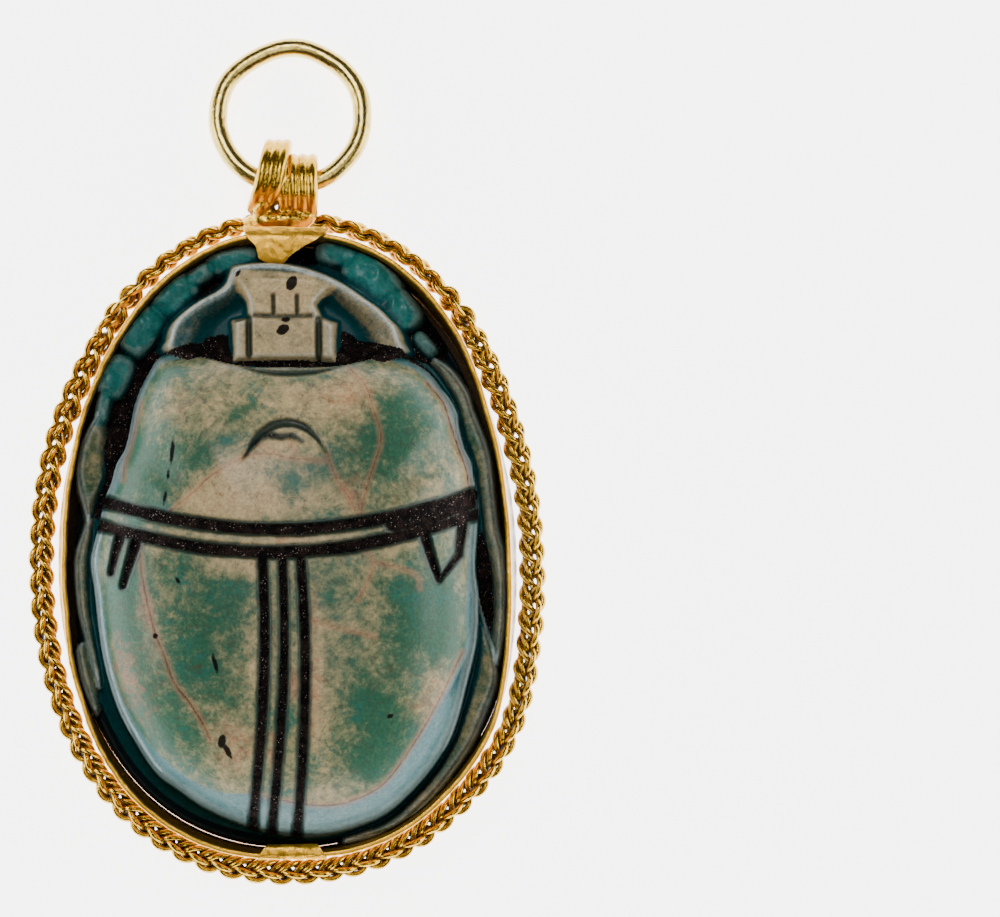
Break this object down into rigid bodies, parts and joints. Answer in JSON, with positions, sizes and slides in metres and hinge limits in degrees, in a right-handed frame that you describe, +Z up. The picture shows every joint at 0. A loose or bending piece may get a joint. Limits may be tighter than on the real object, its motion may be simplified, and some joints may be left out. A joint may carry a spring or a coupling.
{
  "type": "scarab amulet in a gold setting",
  "caption": "Oval glazed scarab beetle amulet in a gold strip setting with a plaited wire border, a ribbed loop and a swinging suspension ring.",
  "frame": {"origin": "middle of the whole amulet's outline, on the surface it lies on", "axes": "+Y from the beetle's tail to its head and the suspension ring, +Z up out of the beetle's back, +X to the right"},
  "size_m": [0.0334, 0.0548, 0.0129],
  "materials": {
    "glaze": "worn blue-green glaze, gloss",
    "gold": "hammered satin gold",
    "gold_wire": "polished gold wire, dark in the hollows",
    "pale_gold": "polished pale gold"
  },
  "bodies": {
    "amulet": {"scarab": "glaze", "bezel_band": "gold", "back_plate": "gold", "braid_border": "gold_wire", "suspension_loop": "gold_wire"},
    "ring": {"suspension_ring": "pale_gold"}
  },
  "joints": [
    {"name": "ring_swing", "type": "hinge", "parent": "amulet", "child": "ring", "pos_m": [0.00019, 0.01767, 0.00245], "axis": [1, 0, 0], "range_deg": [-100, 115]}
  ]
}
